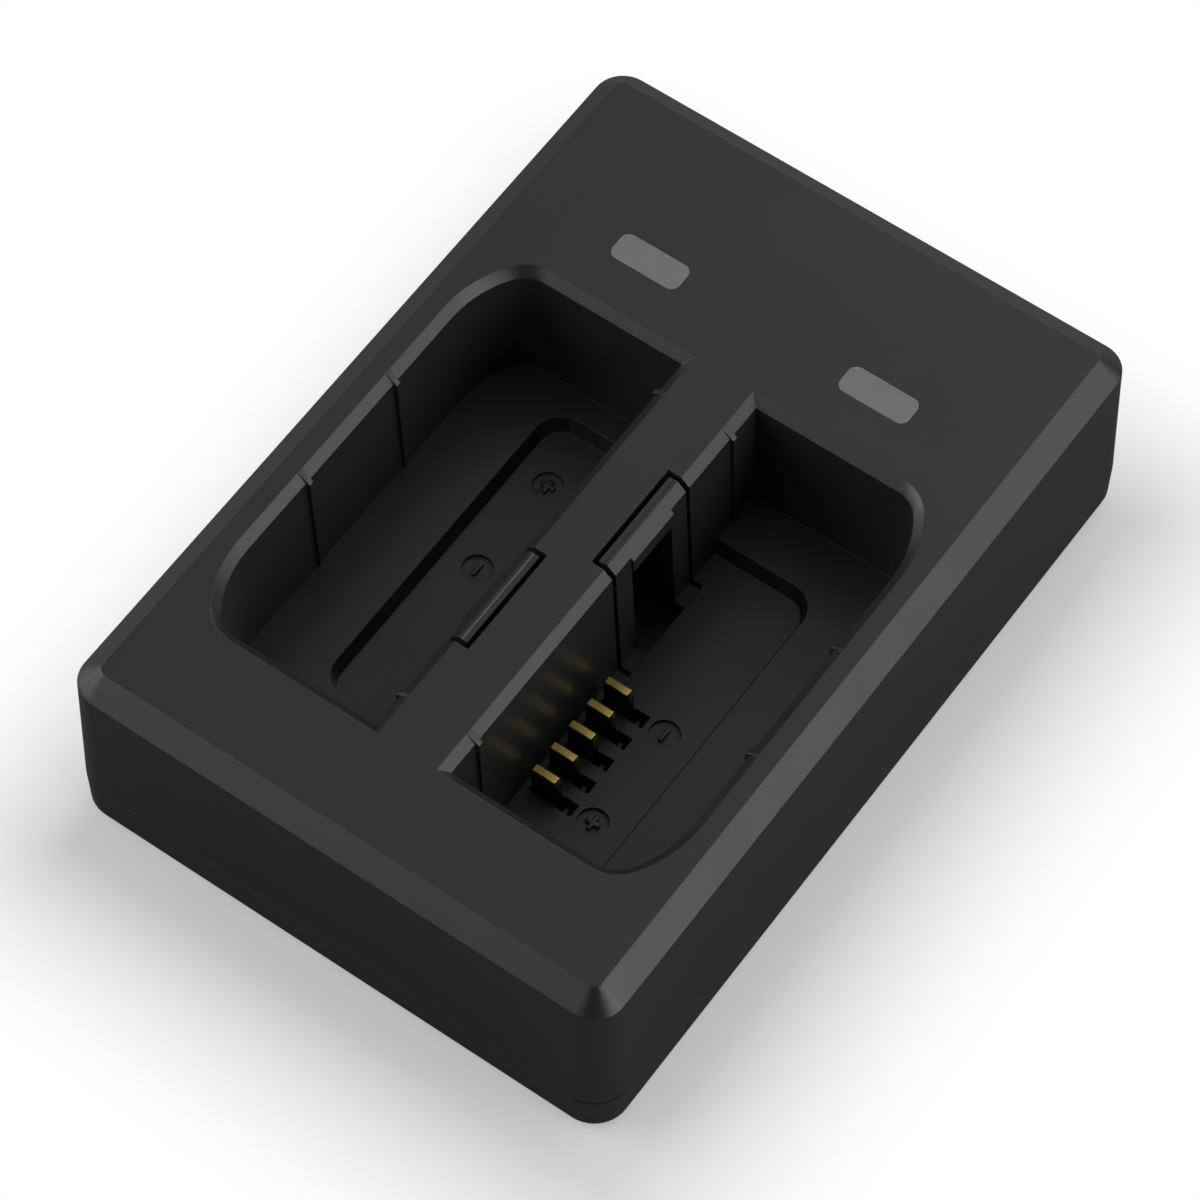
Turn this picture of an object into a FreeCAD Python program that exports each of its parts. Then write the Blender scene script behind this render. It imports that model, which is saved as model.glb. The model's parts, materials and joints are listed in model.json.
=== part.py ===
import FreeCAD, Part
import math
import os
import re
import Sketcher

# Twin-bay charger for action camera batteries. The origin is on the surface that the feet stand on,
# under the middle of the housing. +Y runs to the end with the status windows and the power inlet,
# +X to the bay whose contacts lie nearer the viewer. Lengths are in millimetres, angles in degrees.

sizes = [
    # outer form
    ("housing_length", 91.06, "at the parting line"),
    ("housing_width", 63.62, "at the parting line"),
    ("corner_radius", 3.8, "upright corners at the parting line"),
    ("upper_height", 16.43, "parting line to the foot of the top bevel"),
    ("wall_draft", 1.86, "lean of the side walls"),
    ("bevel_height", 1.98, "bevel round the top face"),
    ("bevel_inset", 2.43, "bevel round the top face"),
    ("top_corner_radius", 0.85, "corners of the top face"),
    ("cover_height", 5.0, "underside to the parting line"),
    ("cover_draft", 1.4, "lean of the cover's sides"),
    ("cover_edge", 0.5, "bevel of the lower edge"),
    ("seam", 0.14, "bevel on each side of the parting line"),
    ("wall", 1.8, "side walls of the shell"),
    ("top_wall", 1.6, "top of the shell"),
    ("cover_floor", 1.5, "bottom of the cover"),
    ("lip_wall", 1.0, "locating lip of the cover"),
    ("lip_height", 1.2, "locating lip above the parting line"),
    ("fit", 0.1, "clearance between pieces that locate each other"),
    # battery bays
    ("bay_length", 52.0, "outer edge of the bay's rim"),
    ("bay_width", 23.5, "outer edge of the bay's rim"),
    ("divider", 6.86, "between the two rims"),
    ("bay_shift", 6.65, "bays lie this far behind the middle of the housing"),
    ("rim", 1.0, "bevel of the rim"),
    ("bay_depth", 15.35, "top face to the ledge"),
    ("bay_draft", 2.6, "lean of the bay walls"),
    ("bay_wall", 1.5, "thickness of the bay walls"),
    ("bay_corner_across", 6.0, "reach of the rounded corner across the bay"),
    ("bay_corner_along", 9.5, "reach of the rounded corner along the bay"),
    ("bay_corner_radius", 4.5, "tight part of the rounded corner"),
    ("well_depth", 1.85, "ledge to the floor of the well"),
    ("well_width", 12.2, "bay wall to the edge of the well"),
    ("well_far", 18.05, "middle of the bay to the well's edge beside the latch"),
    ("well_near", 21.35, "middle of the bay to the well's edge beside the contacts"),
    ("well_slope", 0.6, "run of the well's sloping edge"),
    ("well_radius", 3.0, "corners of the well"),
    ("floor_wall", 1.2, "floor of the well"),
    ("guide_width", 0.65, "upright guide ribs"),
    ("guide_proud", 0.45, "upright guide ribs"),
    ("outer_guides", 14.1, "between the two ribs on the outer wall"),
    ("inner_guides", 41.8, "between the two ribs on the dividing wall"),
    # latches
    ("latch_shift", 7.3, "middle of the bay to the middle of the latch"),
    ("latch_width", 11.7, "whole arm"),
    ("latch_cap", 0.98, "rim to the back of the arm, on the top face"),
    ("latch_step", 0.12, "lower strip along the back of the arm's top"),
    ("latch_gap", 0.55, "slot round the arm"),
    ("latch_foot", 1.25, "bay wall to the root of the arm in the floor"),
    ("latch_root_gap", 0.05, "at the root"),
    ("latch_head", 3.6, "thick upper end of the arm"),
    ("leg_wall", 2.1, "two legs of the arm"),
    ("hook_width", 6.7, "catch that holds the battery"),
    ("hook_reach", 0.37, "catch, proud of the bay wall"),
    ("hook_depth", 3.3, "top face to the underside of the catch"),
    ("window_width", 6.55, "opening between the two legs"),
    # contacts
    ("contact_row", 8.35, "middle of the bay to the middle contact"),
    ("contact_pitch", 3.0, "from contact to contact"),
    ("contact_setback", 2.57, "rim to the blade"),
    ("blade_length", 3.1, "blade along the battery's slot"),
    ("blade_thickness", 1.0, "blade"),
    ("blade_height", 3.8, "blade above the well's floor"),
    ("blade_bevel", 0.3, "lead-in at the ends of the blade's top"),
    ("foot_length", 1.45, "sprung foot beside the blade"),
    ("foot_thickness", 0.5, "sprung foot"),
    ("foot_width", 0.8, "sprung foot"),
    ("foot_drop", 0.5, "top of the foot below the top of its carrier"),
    ("tail_width", 0.8, "soldered tail"),
    ("tail_length", 0.4, "soldered tail below the board"),
    ("slot_side", 0.12, "clearance round the blade in the floor"),
    ("slot_box_width", 1.5, "opening over the foot"),
    ("slot_box_length", 1.7, "opening over the foot"),
    ("carrier_margin", 1.4, "carrier past its end slots"),
    # polarity marks
    ("mark_setback", 9.57, "rim to the middle of the marks"),
    ("mark_radius", 1.6, "round recess"),
    ("mark_depth", 0.4, "round recess"),
    ("mark_size", 1.6, "length of a bar"),
    ("mark_stroke", 0.45, "width of a bar"),
    # status windows and their light guides
    ("window_setback", 19.5, "far end of the housing to the windows"),
    ("window_spacing", 27.2, "between the windows"),
    ("window_length", 8.1, "window"),
    ("window_height", 3.4, "window"),
    ("window_radius", 1.0, "window"),
    ("window_fit", 0.04, "clearance round the window"),
    ("flange", 0.8, "shoulder of the guide under the top wall"),
    ("stem_tip", 4.0, "lower end of the guide"),
    ("stem_width", 2.6, "the guide below its shoulder"),
    ("lamp_gap", 0.3, "between the guide and its lamp"),
    # circuit board and what it carries
    ("board_rise", 0.7, "cover floor to the board"),
    ("board", 1.0, "thickness of the board"),
    ("board_width", 38.0, "board"),
    ("board_near", 25.5, "middle of the housing to the board's near edge"),
    ("board_setback", 3.23, "far end of the housing to the board"),
    ("post_spacing", 32.0, "between the board's posts, across"),
    ("post_near", 22.0, "middle of the housing to the near posts"),
    ("post_setback", 9.03, "far end of the housing to the far posts"),
    ("post_width", 3.2, "board posts"),
    ("pin_diameter", 1.4, "locating pins on two of the posts"),
    ("pin_fit", 0.15, "clearance round a pin"),
    ("pin_proud", 0.3, "pin above the board"),
    ("lamp_length", 3.5, "status lamp"),
    ("lamp_width", 2.8, "status lamp"),
    ("lamp_height", 0.8, "status lamp"),
    ("inlet_width", 8.94, "power inlet shell"),
    ("inlet_height", 3.26, "power inlet shell"),
    ("inlet_radius", 1.6, "rounded sides of the inlet"),
    ("inlet_depth", 7.35, "power inlet shell"),
    ("inlet_wall", 0.3, "power inlet shell"),
    ("inlet_setback", 0.35, "mouth of the inlet behind the wall's face"),
    ("inlet_fit", 0.3, "clearance round the inlet in the wall"),
    ("tongue_width", 6.7, "inlet tongue"),
    ("tongue_thickness", 0.7, "inlet tongue"),
    ("tongue_length", 5.6, "inlet tongue"),
    ("inlet_base", 1.5, "block behind the tongue"),
    ("chip_length", 4.9, "charge controller"),
    ("chip_width", 3.9, "charge controller"),
    ("chip_height", 1.35, "charge controller"),
    ("chip_lift", 0.1, "charge controller above the board"),
    ("lead_pitch", 1.27, "controller leads"),
    ("lead_width", 0.4, "controller leads"),
    ("lead_reach", 1.05, "controller leads"),
    ("chip_spacing", 12.0, "between the controllers"),
    ("chip_from_window", 4.6, "status windows to the controllers"),
    ("coil_size", 6.0, "inductor"),
    ("coil_height", 3.0, "inductor"),
    ("coil_corner", 1.2, "cut corners of the inductor"),
    ("coil_spacing", 25.0, "between the inductors"),
    ("coil_from_window", 6.2, "status windows to the inductors"),
    # fasteners and feet
    ("boss_inset", 6.9, "outline at the parting line to the screws"),
    ("boss_width", 6.0, "screw bosses"),
    ("boss_wall", 1.5, "screw boss above the end of its hole"),
    ("screw_diameter", 2.3, "cover screws"),
    ("screw_length", 9.0, "cover screws under the head"),
    ("screw_head", 4.2, "cover screws"),
    ("head_height", 1.5, "cover screws"),
    ("head_depth", 2.4, "underside to the seat of a screw head"),
    ("driver_width", 0.7, "cross slot"),
    ("driver_length", 2.4, "cross slot"),
    ("driver_depth", 0.8, "cross slot"),
    ("thread_fit", 0.05, "between screw and boss"),
    ("pad_diameter", 8.0, "feet"),
    ("pad_thickness", 1.2, "feet"),
    ("pad_proud", 0.4, "feet below the cover"),
    ("pad_from_screw", 9.6, "screw to foot"),
]

doc = FreeCAD.newDocument("BatteryCharger")
sheet = doc.addObject("Spreadsheet::Sheet", "Sizes")
for row, (alias, amount, note) in enumerate(sizes, start=1):
    sheet.set("A%d" % row, alias)
    sheet.set("B%d" % row, str(amount))
    sheet.set("C%d" % row, note)
    sheet.setAlias("B%d" % row, alias)
doc.recompute()
aliases = {alias for alias, amount, note in sizes}

# heights above the surface, from the feet up
underside = "pad_proud"
parting = "(pad_proud + cover_height)"
bevel_foot = "(pad_proud + cover_height + upper_height)"
top = "(pad_proud + cover_height + upper_height + bevel_height)"
ledge = "(" + top + " - bay_depth)"
well_floor = "(" + top + " - bay_depth - well_depth)"
floor_under = "(" + top + " - bay_depth - well_depth - floor_wall)"
board_under = "(pad_proud + cover_floor + board_rise)"
board_top = "(pad_proud + cover_floor + board_rise + board)"

# how far the leaning walls come in
wall_lean = "(upper_height * tan(wall_draft))"
bay_lean = "((bay_depth - rim) * tan(bay_draft))"
well_lean = "((bay_depth + well_depth - rim) * tan(bay_draft))"

# lines across a bay, measured from the middle of the divider
rim_inner = "(divider / 2)"
rim_outer = "(divider / 2 + bay_width)"
wall_inner = "(divider / 2 + rim)"
latch_root = "(divider / 2 + rim + " + well_lean + " + latch_foot)"
blade_start = "(divider / 2 + contact_setback)"

window_line = "(housing_length / 2 - window_setback)"
contact_numbers = range(1, 6)
quarter = math.pi / 2


def bind(formula):
    return re.sub(r"[a-z_]+", lambda word: "Sizes." + word[0] if word[0] in aliases else word[0], formula)


def value(formula):
    return float(sheet.evalExpression(formula))


def new_body(label, x="0", y="0", z="0", turned=False):
    body = doc.addObject("PartDesign::Body", label)
    body.Label = label
    if turned:
        body.Placement.Rotation = FreeCAD.Rotation(FreeCAD.Vector(0, 0, 1), 180)
    for axis, formula in zip("xyz", (x, y, z)):
        if formula != "0":
            body.setExpression(".Placement.Base." + axis, bind(formula))
    return body


def new_sketch(body, name, role, x="0", y="0", z="0"):
    plane = next(item for item in body.Origin.OriginFeatures if item.Role == role)
    sketch = body.newObject("Sketcher::SketchObject", body.Name + "_" + name)
    sketch.AttachmentSupport = (plane, [""])
    sketch.MapMode = "FlatFace"
    for axis, formula in zip("xyz", (x, y, z)):
        if formula != "0":
            sketch.setExpression(".AttachmentOffset.Base." + axis, bind(formula))
    return sketch


def hold(sketch, kind, geometry, point, formula):
    # a coordinate of zero is a point on an axis, because a distance of nothing can't be stated
    if formula == "0":
        axis = -2 if kind == "DistanceX" else -1
        sketch.addConstraint(Sketcher.Constraint("PointOnObject", geometry, point, axis))
        return
    where = (geometry,) if point is None else (geometry, point)
    index = sketch.addConstraint(Sketcher.Constraint(kind, *where, value(formula)))
    sketch.setExpression("Constraints[%d]" % index, bind(formula))


def add_polygon(sketch, corners):
    points = [FreeCAD.Vector(value(x), value(y), 0) for x, y in corners]
    first = sketch.GeometryCount
    count = len(points)
    for number in range(count):
        sketch.addGeometry(Part.LineSegment(points[number], points[(number + 1) % count]))
    for number in range(count):
        following = first + (number + 1) % count
        sketch.addConstraint(Sketcher.Constraint("Coincident", first + number, 2, following, 1))
    for number, (x, y) in enumerate(corners):
        hold(sketch, "DistanceX", first + number, 1, x)
        hold(sketch, "DistanceY", first + number, 1, y)


def add_rectangle(sketch, left, right, bottom, upper):
    add_polygon(sketch, [(left, bottom), (right, bottom), (right, upper), (left, upper)])


def add_square(sketch, x, y, side):
    half = side + " / 2"
    add_rectangle(sketch, x + " - " + half, x + " + " + half, y + " - " + half, y + " + " + half)


def add_circle(sketch, x, y, diameter):
    centre = FreeCAD.Vector(value(x), value(y), 0)
    index = sketch.addGeometry(Part.Circle(centre, FreeCAD.Vector(0, 0, 1), value(diameter) / 2))
    hold(sketch, "Diameter", index, None, diameter)
    hold(sketch, "DistanceX", index, 3, x)
    hold(sketch, "DistanceY", index, 3, y)


def arc(centre_x, centre_y, radius, start, end):
    circle = Part.Circle(FreeCAD.Vector(centre_x, centre_y, 0), FreeCAD.Vector(0, 0, 1), radius)
    return Part.ArcOfCircle(circle, start, end)


def add_rounded_rectangle(sketch, left, right, bottom, upper, radius):
    x0, x1, y0, y1, r = (value(formula) for formula in (left, right, bottom, upper, radius))
    sides = [
        ((x0 + r, y0), (x1 - r, y0), (x1 - r, y0 + r), 3, "DistanceY", bottom),
        ((x1, y0 + r), (x1, y1 - r), (x1 - r, y1 - r), 0, "DistanceX", right),
        ((x1 - r, y1), (x0 + r, y1), (x0 + r, y1 - r), 1, "DistanceY", upper),
        ((x0, y1 - r), (x0, y0 + r), (x0 + r, y0 + r), 2, "DistanceX", left),
    ]
    first = sketch.GeometryCount
    for start, end, centre, turn, kind, formula in sides:
        sketch.addGeometry(Part.LineSegment(FreeCAD.Vector(*start, 0), FreeCAD.Vector(*end, 0)))
        sketch.addGeometry(arc(*centre, r, turn * quarter, (turn + 1) * quarter))
    for number, (start, end, centre, turn, kind, formula) in enumerate(sides):
        line = first + 2 * number
        following = first + (2 * number + 2) % 8
        sketch.addConstraint(Sketcher.Constraint("Tangent", line, 2, line + 1, 1))
        sketch.addConstraint(Sketcher.Constraint("Tangent", line + 1, 2, following, 1))
        level = "Horizontal" if kind == "DistanceY" else "Vertical"
        sketch.addConstraint(Sketcher.Constraint(level, line))
        hold(sketch, kind, line, 1, formula)
        hold(sketch, "Radius", line + 1, None, radius)


def add_section(body, name, z, inset, radius=None):
    # a rounded rectangle that follows the housing's outline at the parting line
    sketch = new_sketch(body, name, "XY_Plane", z=z)
    across = "(housing_width / 2 - " + inset + ")"
    along = "(housing_length / 2 - " + inset + ")"
    bend = radius or "(corner_radius - " + inset + ")"
    add_rounded_rectangle(sketch, "-" + across, across, "-" + along, along, bend)
    return sketch


def add_square_section(body, name, z, inset):
    # the same outline with square corners, for the inside of the housing
    sketch = new_sketch(body, name, "XY_Plane", z=z)
    across = "(housing_width / 2 - " + inset + ")"
    along = "(housing_length / 2 - " + inset + ")"
    add_rectangle(sketch, "-" + across, across, "-" + along, along)
    return sketch


def add_bay_outline(body, name, z, inset):
    # square corners at the divider; outer corners turn in a wide arc that runs into a tight one
    sketch = new_sketch(body, name, "XY_Plane", y="-bay_shift", z=z)
    inner = "(" + rim_inner + " + " + inset + ")"
    outer = "(" + rim_outer + " - " + inset + ")"
    end = "(bay_length / 2 - " + inset + ")"
    tight_start = "(" + rim_outer + " - bay_corner_across)"
    wide_start = "(bay_length / 2 - bay_corner_along)"
    tight = "(bay_corner_radius - " + inset + ")"
    x_in, x_out, y_end, x_tight, y_wide, r = (
        value(formula) for formula in (inner, outer, end, tight_start, wide_start, tight))
    across = x_out - x_tight
    along = y_end - y_wide
    wide = (across ** 2 + along ** 2 - 2 * along * r) / (2 * (across - r))
    wide_x = x_out - wide
    lean = FreeCAD.Vector(x_tight - wide_x, y_end - r - y_wide, 0).getAngle(FreeCAD.Vector(1, 0, 0))
    pieces = [
        Part.LineSegment(FreeCAD.Vector(x_in, -y_end, 0), FreeCAD.Vector(x_tight, -y_end, 0)),
        arc(x_tight, r - y_end, r, -quarter, -lean),
        arc(wide_x, -y_wide, wide, -lean, 0),
        Part.LineSegment(FreeCAD.Vector(x_out, -y_wide, 0), FreeCAD.Vector(x_out, y_wide, 0)),
        arc(wide_x, y_wide, wide, 0, lean),
        arc(x_tight, y_end - r, r, lean, quarter),
        Part.LineSegment(FreeCAD.Vector(x_tight, y_end, 0), FreeCAD.Vector(x_in, y_end, 0)),
        Part.LineSegment(FreeCAD.Vector(x_in, y_end, 0), FreeCAD.Vector(x_in, -y_end, 0)),
    ]
    for piece in pieces:
        sketch.addGeometry(piece)
    for number in range(6):
        sketch.addConstraint(Sketcher.Constraint("Tangent", number, 2, number + 1, 1))
    sketch.addConstraint(Sketcher.Constraint("Coincident", 6, 2, 7, 1))
    sketch.addConstraint(Sketcher.Constraint("Coincident", 7, 2, 0, 1))
    for line in (0, 6):
        sketch.addConstraint(Sketcher.Constraint("Horizontal", line))
    for line in (3, 7):
        sketch.addConstraint(Sketcher.Constraint("Vertical", line))
    hold(sketch, "DistanceX", 7, 1, inner)
    hold(sketch, "DistanceX", 3, 1, outer)
    hold(sketch, "DistanceY", 0, 1, "-" + end)
    hold(sketch, "DistanceY", 6, 1, end)
    for line, point in ((0, 2), (6, 1)):
        hold(sketch, "DistanceX", line, point, tight_start)
    hold(sketch, "DistanceY", 3, 1, "-" + wide_start)
    hold(sketch, "DistanceY", 3, 2, wide_start)
    for bend in (1, 5):
        hold(sketch, "Radius", bend, None, tight)
    return sketch


def make_loft(body, kind, name, sections):
    loft = body.newObject("PartDesign::" + kind, body.Name + "_" + name)
    loft.Profile = sections[0]
    loft.Sections = sections[1:]
    loft.Ruled = True
    body.Tip = loft
    return loft


def make_pad(body, name, sketch, length, both_ways=False, down=False):
    pad = body.newObject("PartDesign::Pad", body.Name + "_" + name)
    pad.Profile = sketch
    pad.setExpression("Length", bind(length))
    if both_ways:
        pad.SideType = "Symmetric"
    pad.Reversed = down
    body.Tip = pad
    return pad


def make_pocket(body, name, sketch, length, both_ways=False, upward=False):
    pocket = body.newObject("PartDesign::Pocket", body.Name + "_" + name)
    pocket.Profile = sketch
    pocket.setExpression("Length", bind(length))
    if both_ways:
        pocket.SideType = "Symmetric"
    pocket.Reversed = upward
    body.Tip = pocket
    return pocket


def dress(body, kind, name, base, edges, prop, amount):
    feature = body.newObject("PartDesign::" + kind, body.Name + "_" + name)
    feature.Base = (base, edges)
    feature.setExpression(prop, bind(amount))
    body.Tip = feature
    return feature


def edges_at(feature, height, spread=0.01):
    # names of the edges that lie level at this height
    names = []
    for number, edge in enumerate(feature.Shape.Edges, start=1):
        box = edge.BoundBox
        if abs(box.ZMin - height) < spread and abs(box.ZMax - height) < spread:
            names.append("Edge%d" % number)
    return names


def contact_place(number):
    # along the bay, from its middle: number 1 is nearest the latch
    return "-(contact_row + contact_pitch * %d)" % (number - 3)


def screw_places():
    across = "(housing_width / 2 - boss_inset)"
    along = "(housing_length / 2 - boss_inset)"
    return [(a + across, b + along) for b in ("", "-") for a in ("-", "")]


def foot_places():
    across = "(housing_width / 2 - boss_inset)"
    along = "(housing_length / 2 - boss_inset - pad_from_screw)"
    return [(a + across, b + along) for b in ("", "-") for a in ("-", "")]


def post_places():
    far = "(housing_length / 2 - post_setback)"
    return [(side + "post_spacing / 2", y) for y in (far, "-post_near") for side in ("-", "")]


def pin_places():
    # two opposite corners are enough to locate the board
    places = post_places()
    return [places[0], places[3]]


def add_guide(body, name, wall_line, direction, y):
    # an upright rib that starts at the rim's edge and follows the bevel and the leaning wall to the floor
    sketch = new_sketch(body, name, "XZ_Plane", z="-(" + y + " - bay_shift)")
    sign = "+" if direction > 0 else "-"
    back = "-" if direction > 0 else "+"
    foot = "(" + wall_line + sign + well_lean + ")"
    add_polygon(sketch, [
        (wall_line + back + "rim", top),
        (wall_line + sign + "guide_proud", top + " - rim"),
        (foot + sign + "guide_proud / 2", well_floor),
        (foot + back + "bay_wall / 2", well_floor),
        (wall_line + back + "rim", top + " - rim"),
    ])
    return make_pad(body, name + "_rib", sketch, "guide_width", both_ways=True)


def add_contact_slots(body, name, start, length, width):
    sketch = new_sketch(body, name, "XY_Plane", y="-bay_shift", z=well_floor)
    for number in contact_numbers:
        y = contact_place(number)
        add_rectangle(sketch, start, start + " + " + length,
                      y + " - " + width + " / 2", y + " + " + width + " / 2")
    return make_pocket(body, name + "_cut", sketch, "2 * floor_wall")


def add_mark(body, name, y, crossed):
    # a shallow round recess whose floor keeps a raised minus or plus
    sketch = new_sketch(body, name, "XY_Plane", y="-bay_shift", z=well_floor)
    middle = "(" + rim_inner + " + mark_setback)"
    add_circle(sketch, middle, y, "(2 * mark_radius)")
    thin = ("(" + middle + " - mark_stroke / 2)", "(" + middle + " + mark_stroke / 2)")
    wide = ("(" + middle + " - mark_size / 2)", "(" + middle + " + mark_size / 2)")
    near = ("(" + y + " - mark_size / 2)", "(" + y + " - mark_stroke / 2)")
    far = ("(" + y + " + mark_stroke / 2)", "(" + y + " + mark_size / 2)")
    if crossed:
        add_polygon(sketch, [
            (thin[0], near[0]), (thin[1], near[0]), (thin[1], near[1]), (wide[1], near[1]),
            (wide[1], far[0]), (thin[1], far[0]), (thin[1], far[1]), (thin[0], far[1]),
            (thin[0], far[0]), (wide[0], far[0]), (wide[0], near[1]), (thin[0], near[1]),
        ])
    else:
        add_rectangle(sketch, thin[0], thin[1], near[0], far[1])
    return make_pocket(body, name + "_recess", sketch, "mark_depth")


def add_inlet_opening(body):
    # the slot for the power inlet crosses the parting line, so both halves are cut alike
    sketch = new_sketch(body, "inlet_slot", "XZ_Plane", z="-housing_length / 2")
    across = "(inlet_width / 2 + inlet_fit)"
    low = "(" + board_top + " - inlet_fit)"
    high = "(" + board_top + " + inlet_height + inlet_fit)"
    bend = "(inlet_radius + inlet_fit)"
    add_rounded_rectangle(sketch, "-" + across, across, low, high, bend)
    depth = "2 * (wall + fit + lip_wall + fit)"
    return make_pocket(body, "inlet_opening", sketch, depth, both_ways=True)


def make_top_shell():
    body = new_body("top_shell")
    make_loft(body, "AdditiveLoft", "outside", [
        add_section(body, "seam_edge", parting, "seam"),
        add_section(body, "seam_top", "(" + parting + " + seam)", "0"),
        add_section(body, "bevel_foot", bevel_foot, wall_lean),
        add_section(body, "top_face", top, "(" + wall_lean + " + bevel_inset)", "top_corner_radius"),
    ])
    make_loft(body, "SubtractiveLoft", "hollow", [
        add_square_section(body, "hollow_mouth", parting, "wall"),
        add_square_section(body, "hollow_neck", "(" + bevel_foot + " - bevel_height / 2)",
                           "(wall + " + wall_lean + ")"),
        add_square_section(body, "hollow_top", "(" + top + " - top_wall)",
                           "(wall + " + wall_lean + " + top_wall)"),
    ])
    block_sections = []
    for name, z, inset in (("block_foot", floor_under, "(rim + " + well_lean + " - bay_wall)"),
                           ("block_top", "(" + top + " - top_wall / 2)", "(rim - bay_wall)")):
        sketch = new_sketch(body, name, "XY_Plane", y="-bay_shift", z=z)
        end = "(bay_length / 2 - " + inset + ")"
        add_rectangle(sketch, "(" + rim_inner + " + " + inset + ")", "(" + rim_outer + " - " + inset + ")",
                      "-" + end, end)
        block_sections.append(sketch)
    block = make_loft(body, "AdditiveLoft", "bay_block", block_sections)
    rim_sketch = add_bay_outline(body, "rim_edge", top, "0")
    cavity = make_loft(body, "SubtractiveLoft", "bay", [
        rim_sketch,
        add_bay_outline(body, "rim_foot", "(" + top + " - rim)", "rim"),
        add_bay_outline(body, "ledge_edge", ledge, "(rim + " + bay_lean + ")"),
    ])
    patterned = [block, cavity]

    well = []
    for name, z, lean, slope in (("well_edge", ledge, bay_lean, "0"),
                                 ("well_foot", well_floor, well_lean, "well_slope")):
        sketch = new_sketch(body, name, "XY_Plane", y="-bay_shift", z=z)
        inner = "(" + wall_inner + " + " + lean + ")"
        outer = "(" + wall_inner + " + " + bay_lean + " + well_width - " + slope + ")"
        near = "-(well_near - " + slope + ")"
        far = "(well_far - " + slope + ")"
        add_well_outline(sketch, inner, outer, near, far, "(well_radius - " + slope + ")")
        well.append(sketch)
    patterned.append(make_loft(body, "SubtractiveLoft", "well", well))

    outer_wall = "(" + rim_outer + " - rim)"
    for name, line, direction, y in (
            ("outer_guide_far", outer_wall, -1, "outer_guides / 2"),
            ("outer_guide_near", outer_wall, -1, "-outer_guides / 2"),
            ("inner_guide_far", wall_inner, 1, "inner_guides / 2"),
            ("inner_guide_near", wall_inner, 1, "-inner_guides / 2")):
        patterned.append(add_guide(body, name, line, direction, y))

    sketch = new_sketch(body, "latch_slot", "XY_Plane", y="-bay_shift", z=top)
    reach = "(latch_width / 2 + latch_gap)"
    add_rectangle(sketch, "(" + rim_inner + " - latch_cap - latch_gap)", latch_root,
                  "(latch_shift - " + reach + ")", "(latch_shift + " + reach + ")")
    patterned.append(make_pocket(body, "latch_opening", sketch, "(bay_depth + well_depth + 2 * floor_wall)"))

    patterned.append(add_contact_slots(body, "blade_slots", blade_start + " - slot_side",
                                       "(blade_length + slot_side)", "(blade_thickness + 2 * slot_side)"))

    patterned.append(add_mark(body, "minus", contact_place(1), crossed=False))
    patterned.append(add_mark(body, "plus", contact_place(5), crossed=True))

    pattern = body.newObject("PartDesign::PolarPattern", "second_bay")
    pattern.Originals = patterned
    pattern.Axis = (rim_sketch, ["N_Axis"])
    pattern.Angle = 360
    pattern.Occurrences = 2
    body.Tip = pattern
    # only the right bay is open over the feet of its contacts
    add_contact_slots(body, "foot_slots", blade_start + " + blade_length",
                      "slot_box_length", "slot_box_width")

    sketch = new_sketch(body, "status_windows", "XY_Plane", z=top)
    for side in ("-", ""):
        middle = side + "window_spacing / 2"
        add_rounded_rectangle(
            sketch,
            middle + " - window_length / 2 - window_fit", middle + " + window_length / 2 + window_fit",
            window_line + " - window_height / 2 - window_fit",
            window_line + " + window_height / 2 + window_fit",
            "(window_radius + window_fit)")
    make_pocket(body, "window_openings", sketch, "2 * top_wall")

    sketch = new_sketch(body, "boss_outlines", "XY_Plane", z=parting)
    for x, y in screw_places():
        add_square(sketch, x, y, "boss_width")
    make_pad(body, "bosses", sketch, "(upper_height + bevel_height - top_wall / 2)")
    sketch = new_sketch(body, "boss_holes", "XY_Plane", z=parting)
    for x, y in screw_places():
        add_circle(sketch, x, y, "(screw_diameter + 2 * thread_fit)")
    depth = "(screw_length - cover_height + head_depth + boss_wall)"
    make_pocket(body, "boss_bores", sketch, depth, upward=True)
    add_inlet_opening(body)
    return body


def add_well_outline(sketch, inner, outer, near, far, radius):
    # open to the dividing wall with square corners, rounded at its two outer corners
    x0, x1, y0, y1, r = (value(formula) for formula in (inner, outer, near, far, radius))
    for piece in (
            Part.LineSegment(FreeCAD.Vector(x0, y0, 0), FreeCAD.Vector(x1 - r, y0, 0)),
            arc(x1 - r, y0 + r, r, -quarter, 0),
            Part.LineSegment(FreeCAD.Vector(x1, y0 + r, 0), FreeCAD.Vector(x1, y1 - r, 0)),
            arc(x1 - r, y1 - r, r, 0, quarter),
            Part.LineSegment(FreeCAD.Vector(x1 - r, y1, 0), FreeCAD.Vector(x0, y1, 0)),
            Part.LineSegment(FreeCAD.Vector(x0, y1, 0), FreeCAD.Vector(x0, y0, 0))):
        sketch.addGeometry(piece)
    for number in range(4):
        sketch.addConstraint(Sketcher.Constraint("Tangent", number, 2, number + 1, 1))
    sketch.addConstraint(Sketcher.Constraint("Coincident", 4, 2, 5, 1))
    sketch.addConstraint(Sketcher.Constraint("Coincident", 5, 2, 0, 1))
    for kind, line in (("Horizontal", 0), ("Vertical", 2), ("Horizontal", 4), ("Vertical", 5)):
        sketch.addConstraint(Sketcher.Constraint(kind, line))
    hold(sketch, "DistanceX", 5, 1, inner)
    hold(sketch, "DistanceX", 2, 1, outer)
    hold(sketch, "DistanceY", 0, 1, near)
    hold(sketch, "DistanceY", 4, 1, far)
    for bend in (1, 3):
        hold(sketch, "Radius", bend, None, radius)


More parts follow.
